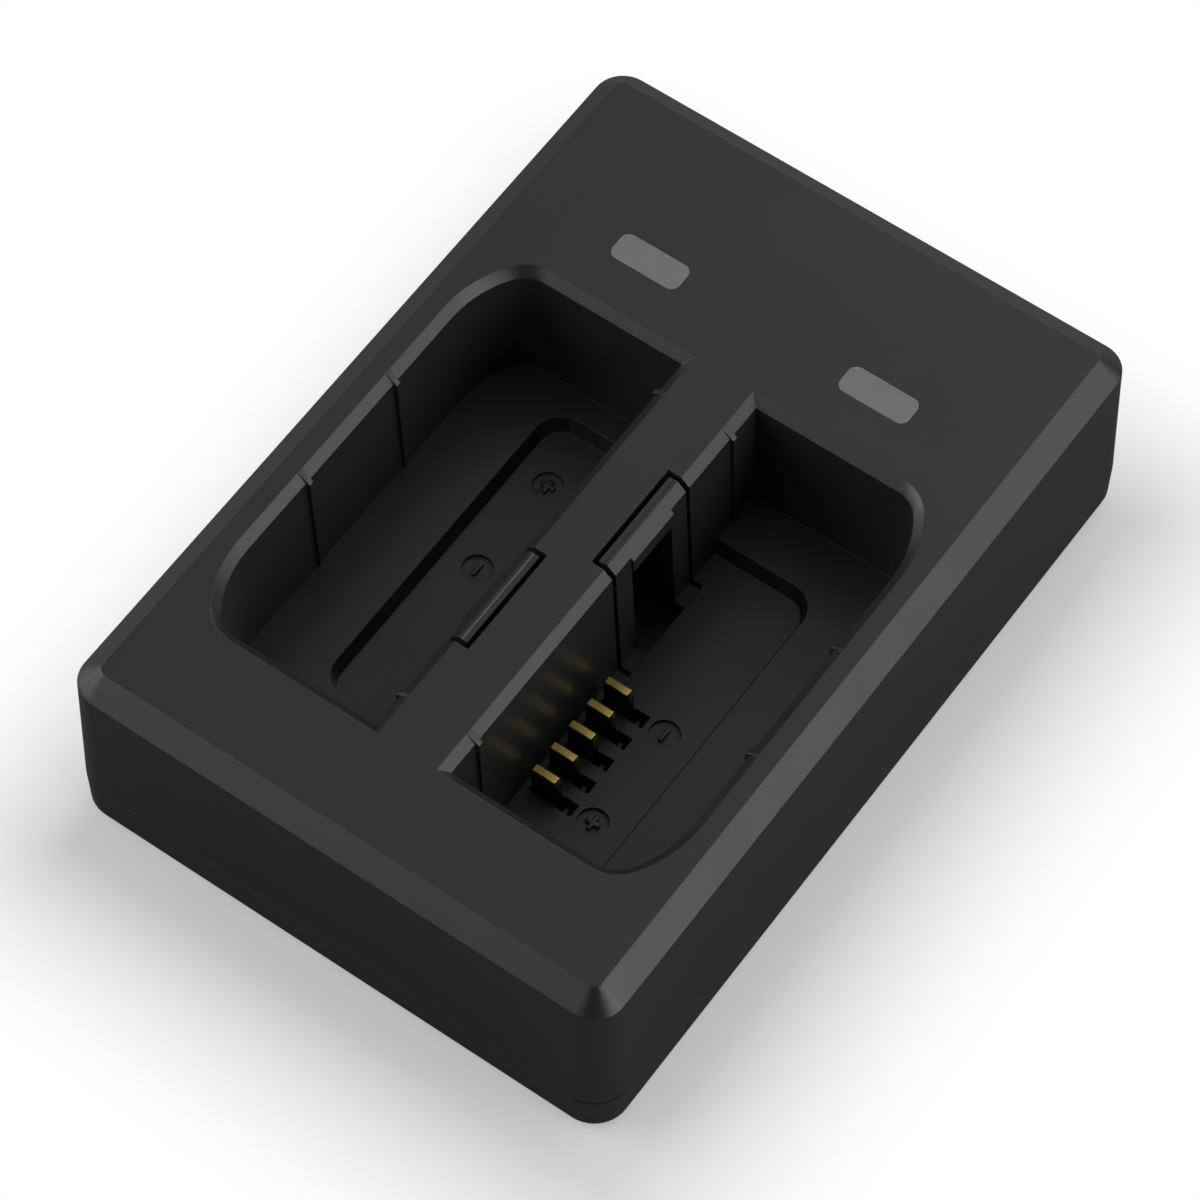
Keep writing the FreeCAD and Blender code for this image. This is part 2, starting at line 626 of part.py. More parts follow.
def make_bottom_cover():
    body = new_body("bottom_cover")
    foot_inset = "(cover_height * tan(cover_draft))"
    solid = make_loft(body, "AdditiveLoft", "outside", [
        add_section(body, "underside", underside, foot_inset),
        add_section(body, "seam_foot", "(" + parting + " - seam)", "0"),
        add_section(body, "seam_edge", parting, "seam"),
    ])
    doc.recompute()
    lower_edges = edges_at(solid, value(underside))
    dress(body, "Chamfer", "lower_edge", solid, lower_edges, "Size", "cover_edge")
    lip = add_square_section(body, "lip", parting, "(wall + fit)")
    make_pad(body, "locating_lip", lip, "lip_height")
    hollow = add_square_section(body, "hollow", "(" + parting + " + lip_height)", "(wall + fit + lip_wall)")
    make_pocket(body, "hollow_cut", hollow, "(lip_height + cover_height - cover_floor)")

    floor = "(pad_proud + cover_floor)"
    sketch = new_sketch(body, "boss_outlines", "XY_Plane", z=floor)
    for x, y in screw_places():
        add_square(sketch, x, y, "boss_width")
    make_pad(body, "screw_posts", sketch, "(cover_height - cover_floor)")
    for name, diameter, depth in (("screw_holes", "(screw_diameter + 2 * fit)", "cover_height"),
                                  ("head_recesses", "(screw_head + 4 * fit)", "head_depth")):
        sketch = new_sketch(body, name, "XY_Plane", z=underside)
        for x, y in screw_places():
            add_circle(sketch, x, y, diameter)
        make_pocket(body, name + "_cut", sketch, depth, upward=True)

    sketch = new_sketch(body, "foot_recesses", "XY_Plane", z=underside)
    for x, y in foot_places():
        add_circle(sketch, x, y, "(pad_diameter + 2 * fit)")
    make_pocket(body, "foot_recesses_cut", sketch, "(pad_thickness - pad_proud)", upward=True)

    sketch = new_sketch(body, "posts", "XY_Plane", z=floor)
    for x, y in post_places():
        add_square(sketch, x, y, "post_width")
    make_pad(body, "board_posts", sketch, "board_rise")
    sketch = new_sketch(body, "pins", "XY_Plane", z=floor)
    for x, y in pin_places():
        add_circle(sketch, x, y, "pin_diameter")
    make_pad(body, "board_pins", sketch, "(board_rise + board + pin_proud)")
    add_inlet_opening(body)
    return body


def make_latch(side):
    # an arm that rises from the floor of the well, with a catch on the bay side of its head
    body = new_body(side + "_latch", y="-bay_shift", turned=side == "left")
    middle = "-latch_shift"
    back = "(" + rim_inner + " - latch_cap)"
    crest = "(" + rim_inner + " - latch_cap / 3)"
    head_foot = "(" + top + " - latch_head)"
    leg_top = "(" + top + " - latch_head - leg_wall / 2)"
    leg_front = "(" + wall_inner + " + (latch_head + leg_wall / 2 - rim) * tan(bay_draft))"
    foot_front = "(" + wall_inner + " + " + well_lean + ")"
    root = "(" + latch_root + " - latch_root_gap)"
    sketch = new_sketch(body, "arm_profile", "XZ_Plane", z=middle)
    add_polygon(sketch, [
        (back, top + " - latch_step"),
        (crest + " - latch_step", top + " - latch_step"),
        (crest, top),
        (rim_inner, top),
        (wall_inner, top + " - rim"),
        (foot_front, well_floor),
        (root, well_floor),
        (root, floor_under),
        (foot_front + " - leg_wall / 2", floor_under),
        (foot_front + " - leg_wall", floor_under + " + leg_wall / 2"),
        (leg_front + " - leg_wall", leg_top),
        (back, head_foot),
    ])
    make_pad(body, "arm", sketch, "latch_width", both_ways=True)

    sketch = new_sketch(body, "hook_profile", "XZ_Plane", z=middle)
    nose = "(" + wall_inner + " + hook_reach)"
    add_polygon(sketch, [
        (rim_inner, top),
        (nose, top + " - rim - hook_reach"),
        (nose, top + " - hook_depth"),
        (rim_inner, top + " - hook_depth"),
    ])
    make_pad(body, "hook", sketch, "hook_width", both_ways=True)

    sketch = new_sketch(body, "window", "YZ_Plane")
    add_rectangle(sketch, "(latch_shift - window_width / 2)", "(latch_shift + window_width / 2)",
                  "(" + floor_under + " - floor_wall)", "(" + top + " - hook_depth)")
    make_pocket(body, "window_cut", sketch, "2 * housing_width", both_ways=True)
    return body


def make_contact(side, number):
    body = new_body("%s_contact_%d" % (side, number), y="-bay_shift", turned=side == "left")
    y = contact_place(number)
    end = "(" + blade_start + " + blade_length)"
    tail = "(" + blade_start + " + blade_length / 2)"
    seat = "(" + floor_under + " - fit - foot_drop)"
    sketch = new_sketch(body, "blade_profile", "XZ_Plane", z="-(" + y + ")")
    crown = "(" + well_floor + " + blade_height)"
    add_polygon(sketch, [
        (blade_start, board_top),
        (tail + " - tail_width / 2", board_top),
        (tail + " - tail_width / 2", board_under + " - tail_length"),
        (tail + " + tail_width / 2", board_under + " - tail_length"),
        (tail + " + tail_width / 2", board_top),
        (end, board_top),
        (end, crown + " - 2 * blade_bevel"),
        (end + " - blade_bevel", crown),
        (blade_start + " + blade_bevel / 2", crown),
        (blade_start, crown + " - blade_bevel"),
    ])
    make_pad(body, "blade", sketch, "blade_thickness", both_ways=True)
    sketch = new_sketch(body, "foot_profile", "XZ_Plane", z="-(" + y + ")")
    add_rectangle(sketch, end + " - blade_thickness / 2", end + " + foot_length",
                  seat + " - foot_thickness", seat)
    make_pad(body, "sprung_foot", sketch, "foot_width", both_ways=True)
    return body


def make_carrier(side):
    # the moulded block that holds five blades upright between the board and the floor of the well
    body = new_body(side + "_contact_carrier", y="-bay_shift", turned=side == "left")
    first = contact_place(1)
    last = contact_place(5)
    start = "(" + blade_start + " - carrier_margin / 2)"
    end = "(" + blade_start + " + blade_length + foot_length + carrier_margin / 2)"
    sketch = new_sketch(body, "outline", "XY_Plane", z=board_top)
    add_rectangle(sketch, start, end, last + " - carrier_margin", first + " + carrier_margin")
    height = "(" + floor_under + " - fit - " + board_top + ")"
    make_pad(body, "block", sketch, height)
    for name, left, right, width, depth in (
            ("blade_slots", blade_start + " - fit", blade_start + " + blade_length + fit",
             "(blade_thickness + fit)", "2 * " + height),
            ("foot_slots", blade_start + " + blade_length",
             blade_start + " + blade_length + foot_length + fit",
             "(foot_width + fit)", "(foot_drop + foot_thickness + fit / 2)")):
        sketch = new_sketch(body, name, "XY_Plane", z="(" + board_top + " + " + height + ")")
        for number in contact_numbers:
            y = contact_place(number)
            add_rectangle(sketch, left, right, y + " - " + width + " / 2", y + " + " + width + " / 2")
        make_pocket(body, name + "_cut", sketch, depth)
    return body


def make_light_guide(side):
    sign = "-" if side == "left" else ""
    body = new_body(side + "_light_guide", x=sign + "window_spacing / 2", y=window_line)
    ceiling = "(" + top + " - top_wall - fit / 2)"
    lamp_top = "(" + board_top + " + lamp_height + lamp_gap)"

    sketch = new_sketch(body, "window_face", "XY_Plane", z=ceiling)
    add_rounded_rectangle(sketch, "-window_length / 2", "window_length / 2",
                          "-window_height / 2", "window_height / 2", "window_radius")
    make_pad(body, "window", sketch, "(top_wall + fit / 2)")

    sketch = new_sketch(body, "shoulder_outline", "XY_Plane", z=ceiling)
    across = "(window_length / 2 + flange)"
    along = "(window_height / 2 + flange)"
    add_rectangle(sketch, "-" + across, across, "-" + along, along)
    make_pad(body, "shoulder", sketch, "flange", down=True)
    sketch = new_sketch(body, "stem_profile", "XZ_Plane")
    add_polygon(sketch, [
        ("-stem_tip / 2", lamp_top), ("stem_tip / 2", lamp_top),
        ("window_length / 2", ceiling + " - flange"), ("-window_length / 2", ceiling + " - flange"),
    ])
    make_pad(body, "stem", sketch, "stem_width", both_ways=True)
    return body


def make_lamp(side):
    sign = "-" if side == "left" else ""
    body = new_body(side + "_status_lamp", x=sign + "window_spacing / 2", y=window_line, z=board_top)
    sketch = new_sketch(body, "outline", "XY_Plane")
    add_rectangle(sketch, "-lamp_length / 2", "lamp_length / 2", "-lamp_width / 2", "lamp_width / 2")
    make_pad(body, "case", sketch, "lamp_height")
    return body


def make_board():
    body = new_body("circuit_board")
    sketch = new_sketch(body, "outline", "XY_Plane", z=board_under)
    add_rectangle(sketch, "-board_width / 2", "board_width / 2",
                  "-board_near", "(housing_length / 2 - board_setback)")
    make_pad(body, "sheet", sketch, "board")
    sketch = new_sketch(body, "pin_holes", "XY_Plane", z=board_top)
    for x, y in pin_places():
        add_circle(sketch, x, y, "(pin_diameter + 2 * pin_fit)")
    make_pocket(body, "pin_holes_cut", sketch, "2 * board")
    sketch = new_sketch(body, "tail_holes", "XY_Plane", z=board_top)
    tail = "(" + blade_start + " + blade_length / 2)"
    for sign, name in (("", "right"), ("-", "left")):
        for number in contact_numbers:
            y = contact_place(number)
            along = "(" + y + " - bay_shift)" if name == "right" else "(-(" + y + ") - bay_shift)"
            add_rectangle(
                sketch,
                sign + tail + " - tail_width / 2 - fit", sign + tail + " + tail_width / 2 + fit",
                along + " - blade_thickness / 2 - fit", along + " + blade_thickness / 2 + fit")
    make_pocket(body, "tail_holes_cut", sketch, "2 * board")
    return body


def make_inlet_shell():
    # a folded tube with rounded ends, open to the far side and closed behind its insulator
    mouth = "(housing_length / 2 - inlet_setback)"
    body = new_body("inlet_shell", y=mouth, z=board_top)
    for name, inset, depth, make in (("outside", "0", "inlet_depth", make_pad),
                                     ("inside", "inlet_wall", "(inlet_depth - inlet_wall)", make_pocket)):
        sketch = new_sketch(body, name, "XZ_Plane")
        across = "(inlet_width / 2 - " + inset + ")"
        bend = "(inlet_radius - " + inset + ")"
        add_rounded_rectangle(sketch, "-" + across, across, inset, "(inlet_height - " + inset + ")", bend)
        feature = make(body, name + "_form", sketch, depth)
        feature.Reversed = make is make_pocket
    return body


def make_inlet_tongue():
    mouth = "(housing_length / 2 - inlet_setback)"
    body = new_body("inlet_tongue", y=mouth + " - inlet_depth + inlet_wall", z=board_top)
    inset = "(inlet_wall + fit / 2)"
    sketch = new_sketch(body, "base_outline", "XZ_Plane")
    across = "(inlet_width / 2 - " + inset + ")"
    bend = "(inlet_radius - " + inset + ")"
    add_rounded_rectangle(sketch, "-" + across, across, inset, "(inlet_height - " + inset + ")", bend)
    make_pad(body, "base", sketch, "inlet_base", down=True)
    sketch = new_sketch(body, "tongue_outline", "XZ_Plane")
    add_rectangle(sketch, "-tongue_width / 2", "tongue_width / 2",
                  "(inlet_height - tongue_thickness) / 2", "(inlet_height + tongue_thickness) / 2")
    make_pad(body, "tongue", sketch, "tongue_length", down=True)
    return body


def make_controller(side):
    sign = "-" if side == "left" else ""
    body = new_body(side + "_charge_controller", x=sign + "chip_spacing / 2",
                    y=window_line + " + chip_from_window", z=board_top)
    sketch = new_sketch(body, "lead_outline", "YZ_Plane", z="-1.5 * lead_pitch")
    reach = "(chip_width / 2 + lead_reach)"
    knee = "(chip_width / 2 + lead_reach / 3)"
    half = "(chip_lift + chip_height / 2)"
    add_polygon(sketch, [
        ("-" + reach, "0"), ("-" + knee, "0"), ("-" + knee, half + " - lead_width / 2"),
        (knee, half + " - lead_width / 2"), (knee, "0"), (reach, "0"),
        (reach, "lead_width / 2"), (knee + " + lead_width / 2", "lead_width / 2"),
        (knee + " + lead_width / 2", half), ("-" + knee + " - lead_width / 2", half),
        ("-" + knee + " - lead_width / 2", "lead_width / 2"), ("-" + reach, "lead_width / 2"),
    ])
    case_sketch = new_sketch(body, "case_outline", "XY_Plane", z="chip_lift")
    add_rectangle(case_sketch, "-chip_length / 2", "chip_length / 2", "-chip_width / 2", "chip_width / 2")
    make_pad(body, "case", case_sketch, "chip_height")
    lead = make_pad(body, "lead_pair", sketch, "lead_width", both_ways=True)
    pattern = body.newObject("PartDesign::LinearPattern", body.Name + "_leads")
    pattern.Originals = [lead]
    pattern.Direction = (sketch, ["N_Axis"])
    pattern.setExpression("Length", bind("3 * lead_pitch"))
    pattern.Occurrences = 4
    body.Tip = pattern
    return body


def make_inductor(side):
    sign = "-" if side == "left" else ""
    body = new_body(side + "_inductor", x=sign + "coil_spacing / 2",
                    y=window_line + " + coil_from_window", z=board_top)
    half = "coil_size / 2"
    sketch = new_sketch(body, "outline", "XY_Plane")
    cut = "(coil_size / 2 - coil_corner)"
    add_polygon(sketch, [
        ("-" + cut, "-" + half), (cut, "-" + half), (half, "-" + cut), (half, cut),
        (cut, half), ("-" + cut, half), ("-" + half, cut), ("-" + half, "-" + cut),
    ])
    make_pad(body, "case", sketch, "coil_height")
    return body


def make_screw(number, x, y):
    body = new_body("cover_screw_%d" % number, x=x, y=y, z="(pad_proud + head_depth)")
    sketch = new_sketch(body, "profile", "XZ_Plane")
    add_polygon(sketch, [
        ("0", "-head_height"), ("screw_head / 2", "-head_height"), ("screw_head / 2", "0"),
        ("screw_diameter / 2", "0"), ("screw_diameter / 2", "screw_length"), ("0", "screw_length"),
    ])
    turned = body.newObject("PartDesign::Revolution", body.Name + "_turned")
    turned.Profile = sketch
    turned.ReferenceAxis = (sketch, ["V_Axis"])
    turned.Angle = 360
    body.Tip = turned
    sketch = new_sketch(body, "driver", "XY_Plane", z="-head_height")
    half = "driver_length / 2"
    thin = "driver_width / 2"
    add_polygon(sketch, [
        ("-" + thin, "-" + half), (thin, "-" + half), (thin, "-" + thin), (half, "-" + thin),
        (half, thin), (thin, thin), (thin, half), ("-" + thin, half),
        ("-" + thin, thin), ("-" + half, thin), ("-" + half, "-" + thin), ("-" + thin, "-" + thin),
    ])
    make_pocket(body, "cross_slot", sketch, "driver_depth", upward=True)
    return body


def make_foot(number, x, y):
    body = new_body("rubber_foot_%d" % number, x=x, y=y)
    sketch = new_sketch(body, "outline", "XY_Plane")
    add_circle(sketch, "0", "0", "pad_diameter")
    make_pad(body, "disc", sketch, "pad_thickness")
    return body


pieces = [make_top_shell(), make_bottom_cover(), make_board(), make_inlet_shell(), make_inlet_tongue()]
for side in ("left", "right"):
    pieces.append(make_latch(side))
    pieces.append(make_carrier(side))
    pieces.extend(make_contact(side, number) for number in contact_numbers)
    pieces.append(make_light_guide(side))
    pieces.append(make_lamp(side))
    pieces.append(make_controller(side))
    pieces.append(make_inductor(side))
for number, (x, y) in enumerate(screw_places(), start=1):
    pieces.append(make_screw(number, x, y))
for number, (x, y) in enumerate(foot_places(), start=1):
    pieces.append(make_foot(number, x, y))
doc.recompute()

faults = [item.Name for item in doc.Objects if "Invalid" in item.State or "Error" in item.State]
for piece in pieces:
    shape = piece.Shape
    if shape.isNull() or not shape.isValid() or len(shape.Solids) != 1:
        faults.append(piece.Label)
if faults:
    raise RuntimeError("these did not come out right: " + ", ".join(faults))

os.makedirs("parts", exist_ok=True)
for piece in pieces:
    piece.Shape.exportStep("parts/" + piece.Label + ".step")
    print(piece.Label, round(piece.Shape.Volume, 2))
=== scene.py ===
import json
import math

import bmesh
import bpy
from mathutils import Matrix, Vector


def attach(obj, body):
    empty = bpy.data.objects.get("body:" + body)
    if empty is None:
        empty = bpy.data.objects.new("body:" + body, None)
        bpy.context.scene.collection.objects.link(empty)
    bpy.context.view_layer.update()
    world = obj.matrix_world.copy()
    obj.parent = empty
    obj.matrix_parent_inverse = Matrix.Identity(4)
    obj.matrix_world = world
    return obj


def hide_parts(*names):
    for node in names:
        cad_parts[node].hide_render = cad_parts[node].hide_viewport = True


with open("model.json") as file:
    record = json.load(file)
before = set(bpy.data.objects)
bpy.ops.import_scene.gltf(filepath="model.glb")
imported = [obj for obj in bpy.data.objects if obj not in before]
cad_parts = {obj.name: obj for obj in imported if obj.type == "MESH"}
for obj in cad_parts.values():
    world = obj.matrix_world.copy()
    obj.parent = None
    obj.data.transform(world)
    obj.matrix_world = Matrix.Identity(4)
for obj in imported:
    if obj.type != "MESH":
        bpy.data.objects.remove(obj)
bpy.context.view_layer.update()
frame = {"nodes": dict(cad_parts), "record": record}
mm = 0.001
sides = ("left", "right")


def addNode(tree, kind, inputs=None, **settings):
    # one node with its settings; an input is a number, a colour or another node's output
    node = tree.nodes.new(kind)
    for name, setting in settings.items():
        setattr(node, name, setting)
    for name, given in (inputs or {}).items():
        if isinstance(given, bpy.types.NodeSocket):
            tree.links.new(given, node.inputs[name])
        else:
            node.inputs[name].default_value = given
    return node


def linearColour(hexCode):
    # an sRGB hex colour as the linear one that the sockets take
    channels = [int(hexCode[i:i + 2], 16) / 255 for i in (1, 3, 5)]
    return [c / 12.92 if c <= 0.04045 else ((c + 0.055) / 1.055) ** 2.4 for c in channels] + [1.0]


def newMaterial(name, look):
    material = bpy.data.materials.new(name)
    material.use_nodes = True
    tree = material.node_tree
    shader = tree.nodes["Principled BSDF"]
    # a pattern takes this socket over; its plain colour is for viewers that don't read nodes
    shader.inputs["Base Color"].default_value = linearColour(look["colours"][0])
    for socket, amount in look["sockets"].items():
        shader.inputs[socket].default_value = amount
    where = addNode(tree, "ShaderNodeTexCoord").outputs["Object"]
    return material, tree, shader, where


def addPattern(tree, where, size, detail, stretch=(1, 1, 1)):
    # noise whose features are about this many millimetres across
    scale = [share / (size * mm) for share in stretch]
    mapped = addNode(tree, "ShaderNodeMapping", {"Vector": where, "Scale": scale}).outputs["Vector"]
    noise = addNode(tree, "ShaderNodeTexNoise", {"Vector": mapped, "Scale": 1.0, "Detail": detail})
    return noise.outputs["Fac"]


noiseRange = (0.3, 0.7)  # noise hardly leaves this range, which is spread over a look's two roughnesses


def applyPatterns(tree, shader, look, colour, roughness=None, relief=None):
    # one pattern blends the look's two colours, one its two roughnesses, and one raises the surface
    first, second = [linearColour(hexCode) for hexCode in look["colours"]]
    blend = addNode(tree, "ShaderNodeMix", {0: colour, 6: first, 7: second}, data_type="RGBA")
    tree.links.new(blend.outputs[2], shader.inputs["Base Color"])
    if roughness is not None:
        smooth, rough = look["roughness"]
        spread = addNode(tree, "ShaderNodeMapRange",
                         {"Value": roughness, "From Min": noiseRange[0], "From Max": noiseRange[1],
                          "To Min": smooth, "To Max": rough})
        tree.links.new(spread.outputs["Result"], shader.inputs["Roughness"])
    if relief is not None:
        strength, height = look["relief"]
        bump = addNode(tree, "ShaderNodeBump",
                       {"Height": relief, "Strength": strength, "Distance": height * mm})
        tree.links.new(bump.outputs["Normal"], shader.inputs["Normal"])


def patternedMaterial(name, look):
    # colour and roughness follow the look's broad pattern, and its relief the fine one where it has one
    material, tree, shader, where = newMaterial(name, look)
    broad = addPattern(tree, where, *look["broad"])
    fine = addPattern(tree, where, *look["fine"]) if "fine" in look else broad
    applyPatterns(tree, shader, look, broad, broad, fine if "relief" in look else None)
    return material


# In the looks below, a pattern is its size in millimetres, its detail and its stretch along each axis,
# relief is a bump's strength and its height in millimetres, and sockets holds plain values of the shader.

# injection-moulded black ABS from a finely eroded mould: even, soft sheen that hardly breaks up; its real
# grain is about 0.1 mm, drawn coarser so that it shows
plastic = {"colours": ("#262627", "#2b2b2c"), "roughness": (0.33, 0.39), "relief": (0.25, 0.01),
           "broad": (9.0, 3.0), "fine": (0.28, 2.0), "sockets": {"IOR": 1.53}}

# stamped copper alloy with a thin pale gold plating: nearly a mirror, with faint strokes from the stamping
plating = {"colours": ("#d4b860", "#e9d280"), "roughness": (0.17, 0.26), "relief": (0.1, 0.002),
           "broad": (0.12, 2.0, (0.12, 1, 1)), "sockets": {"Metallic": 1.0},
           # painted shade: below a blade's crown its gold turns dark brown, standing in for the shade on its
           # sides; heights in millimetres
           "shadeColour": "#4e3f20", "shadeBelow": 9.5, "goldAbove": 10.2}

# light-scattering polycarbonate: grey while no lamp is lit behind it
polycarbonate = {"colours": ("#757576", "#818182"), "roughness": (0.42, 0.5), "relief": (0.15, 0.006),
                 "broad": (1.6, 3.0), "fine": (0.3, 1.0),
                 "sockets": {"IOR": 1.58, "Subsurface Weight": 0.25, "Subsurface Scale": 0.0015}}

# glass-filled black nylon of the contact blocks: dull, with short pale fibres near the skin
nylon = {"colours": ("#19191a", "#242425"), "roughness": (0.5, 0.62), "relief": (0.2, 0.008),
         "broad": (0.5, 3.0, (1, 0.25, 1)), "sockets": {"IOR": 1.53}}

# nickel-plated steel: bright but faintly clouded from the bath
nickel = {"colours": ("#a8a6a1", "#bcbab4"), "roughness": (0.22, 0.38), "relief": (0.1, 0.004),
          "broad": (0.8, 4.0), "fine": (0.2, 2.0), "sockets": {"Metallic": 1.0}}

# moulded black silicone foot: matt, a little dusty
silicone = {"colours": ("#181818", "#242424"), "roughness": (0.68, 0.82), "relief": (0.35, 0.02),
            "broad": (1.2, 4.0), "fine": (0.25, 2.0),
            "sockets": {"IOR": 1.41, "Sheen Weight": 0.15, "Sheen Roughness": 0.6}}

# chip housing of silica-filled epoxy: flat dark grey with a fine sandy skin
epoxy = {"colours": ("#1e1e1f", "#29292a"), "roughness": (0.55, 0.7), "relief": (0.3, 0.01),
         "broad": (0.15, 3.0), "sockets": {"IOR": 1.55}}

# pressed iron powder of a shielded coil: grey, granular
ferrite = {"colours": ("#3d3d40", "#535357"), "roughness": (0.5, 0.66), "relief": (0.3, 0.02),
           "broad": (0.22, 4.0), "sockets": {"IOR": 1.8}}

# pale phosphor resin of an unlit white lamp
resin = {"colours": ("#ddd3a0", "#ece6c6"), "roughness": (0.3, 0.4),
         "broad": (0.6, 2.0), "sockets": {"IOR": 1.5}}

# matt black solder mask over etched copper, with the tracks faintly raised under it
mask = {"colours": ("#18191a", "#101111"), "roughness": (0.5, 0.62), "relief": (0.3, 0.03),
        "broad": (3.0, 2.0), "trackSize": 2.222, "sockets": {"IOR": 1.52}}


def solderMask():
    material, tree, shader, where = newMaterial("solderMask", mask)
    tracks = addNode(tree, "ShaderNodeTexVoronoi", {"Vector": where, "Scale": 1 / (mask["trackSize"] * mm)},
                     distance="CHEBYCHEV").outputs["Distance"]
    applyPatterns(tree, shader, mask, tracks, addPattern(tree, where, *mask["broad"]), tracks)
    return material


def goldWithPaintedShade():
    # painted shade: a blade's gold darkens to brown towards the bottom, below its crown
    material = patternedMaterial("goldWithPaintedShade", plating)
    tree = material.node_tree
    baseColour = tree.nodes["Principled BSDF"].inputs["Base Color"]
    place = addNode(tree, "ShaderNodeSeparateXYZ", {0: tree.nodes["Texture Coordinate"].outputs["Object"]})
    goldShare = addNode(tree, "ShaderNodeMapRange",
                     {"Value": place.outputs["Z"], "From Min": plating["shadeBelow"] * mm,
                      "From Max": plating["goldAbove"] * mm}, interpolation_type="SMOOTHSTEP")
    blend = addNode(tree, "ShaderNodeMix",
                    {0: goldShare.outputs["Result"], 6: linearColour(plating["shadeColour"]),
                     7: baseColour.links[0].from_socket}, data_type="RGBA")
    tree.links.new(blend.outputs[2], baseColour)
    return material


finishes = {
    "housing": patternedMaterial("mouldedAbs", plastic),
    "gold_plate": patternedMaterial("goldPlating", plating),
    "insulator": patternedMaterial("filledNylon", nylon),
    "light_guide": patternedMaterial("milkyPolycarbonate", polycarbonate),
    "lamp": patternedMaterial("lampResin", resin),
    "board": solderMask(),
    "chip": patternedMaterial("mouldedEpoxy", epoxy),
    "ferrite": patternedMaterial("pressedFerrite", ferrite),
    "plated_steel": patternedMaterial("nickelPlate", nickel),
    "foot_rubber": patternedMaterial("siliconeRubber", silicone),
}
slotOf = {part["node"]: part["material_slot"] for part in frame["record"]["subparts"]}
bodyOf = {}
for bodyName, members in frame["record"]["behaviour"]["bodies"].items():
    for member in members:
        bodyOf[member] = bodyName
for nodeName, nodeObject in frame["nodes"].items():
    nodeObject.data.materials.clear()
    nodeObject.data.materials.append(finishes[slotOf[nodeName]])
print("materials:", len(finishes))

# corners closer than weld, in metres, are merged, faces that turn by less than flat are joined, and edges
# that turn by more than sharp are rounded
meshing = {"weld": 1e-6, "flat": math.radians(0.2), "sharp": math.radians(28)}


def cleanMesh(nodeName, plain=None):
    # a copy of a CAD node's mesh with its loose triangles joined; edges in the plain zone get no bevel
    work = bmesh.new()
    work.from_mesh(frame["nodes"][nodeName].data)
    bmesh.ops.remove_doubles(work, verts=work.verts, dist=meshing["weld"])
    bmesh.ops.dissolve_limit(work, angle_limit=meshing["flat"], verts=work.verts, edges=work.edges)
    for face in work.faces:
        face.smooth = True
    rounding = work.edges.layers.float.new("bevel_weight_edge")
    for edge in work.edges:
        turns = edge.calc_face_angle(0.0) > meshing["sharp"]
        spared = turns and plain is not None and all(plain(vert.co / mm) for vert in edge.verts)
        edge.smooth = not spared
        edge[rounding] = 1.0 if turns and not spared else 0.0
    mesh = bpy.data.meshes.new(nodeName)
    work.to_mesh(mesh)
    work.free()
    return mesh


def placePiece(name, mesh, body, slot, *nodes):
    piece = bpy.data.objects.new(name, mesh)
    bpy.context.scene.collection.objects.link(piece)
    mesh.materials.clear()
    mesh.materials.append(finishes[slot])
    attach(piece, body)
    if nodes:
        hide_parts(*nodes)
    return piece


def softenEdges(piece, radius):
    # rounds the weighted edges by this many millimetres and keeps the large faces flat
    bevel = piece.modifiers.new("edges", "BEVEL")
    bevel.width = radius * mm
    bevel.segments = 2
    bevel.limit_method = "WEIGHT"
    bevel.use_clamp_overlap = False
    bevel.miter_outer = "MITER_ARC"
    flatten = piece.modifiers.new("flat faces", "WEIGHTED_NORMAL")
    flatten.mode = "FACE_AREA"
    flatten.keep_sharp = True


# where no edge is rounded, in millimetres: at an arm's root, because it grows out of the shell's floor there,
# and at the low step along the back of its top, which is too fine for a rounding
arm = {"rootTop": 6.9, "rootInner": 6.3, "rootOuter": 6.5, "stepBottom": 23.6, "stepFront": 3.2}


def plainOnArm(point):
    atStep = point.z > arm["stepBottom"] and abs(point.x) < arm["stepFront"]
    return point.z < arm["rootTop"] or atStep


def plainOnShell(point):
    return point.z < arm["rootTop"] and arm["rootInner"] < abs(point.x) < arm["rootOuter"]


plainZones = {"left_latch": plainOnArm, "right_latch": plainOnArm, "top_shell": plainOnShell}
edgeRadius = {
    "top_shell": 0.05, "bottom_cover": 0.1, "left_latch": 0.05, "right_latch": 0.05,
    "left_light_guide": 0.05, "right_light_guide": 0.05, "inlet_shell": 0.05, "inlet_tongue": 0.08,
    "left_inductor": 0.2, "right_inductor": 0.2,
    "left_charge_controller": 0.05, "right_charge_controller": 0.05,
    "left_contact_carrier": 0.06, "right_contact_carrier": 0.06,
}
for nodeName, radius in edgeRadius.items():
    shape = cleanMesh(nodeName, plainZones.get(nodeName))
    piece = placePiece(nodeName + "_soft", shape, bodyOf[nodeName], slotOf[nodeName], nodeName)
    softenEdges(piece, radius)
print("soft edges:", len(edgeRadius))


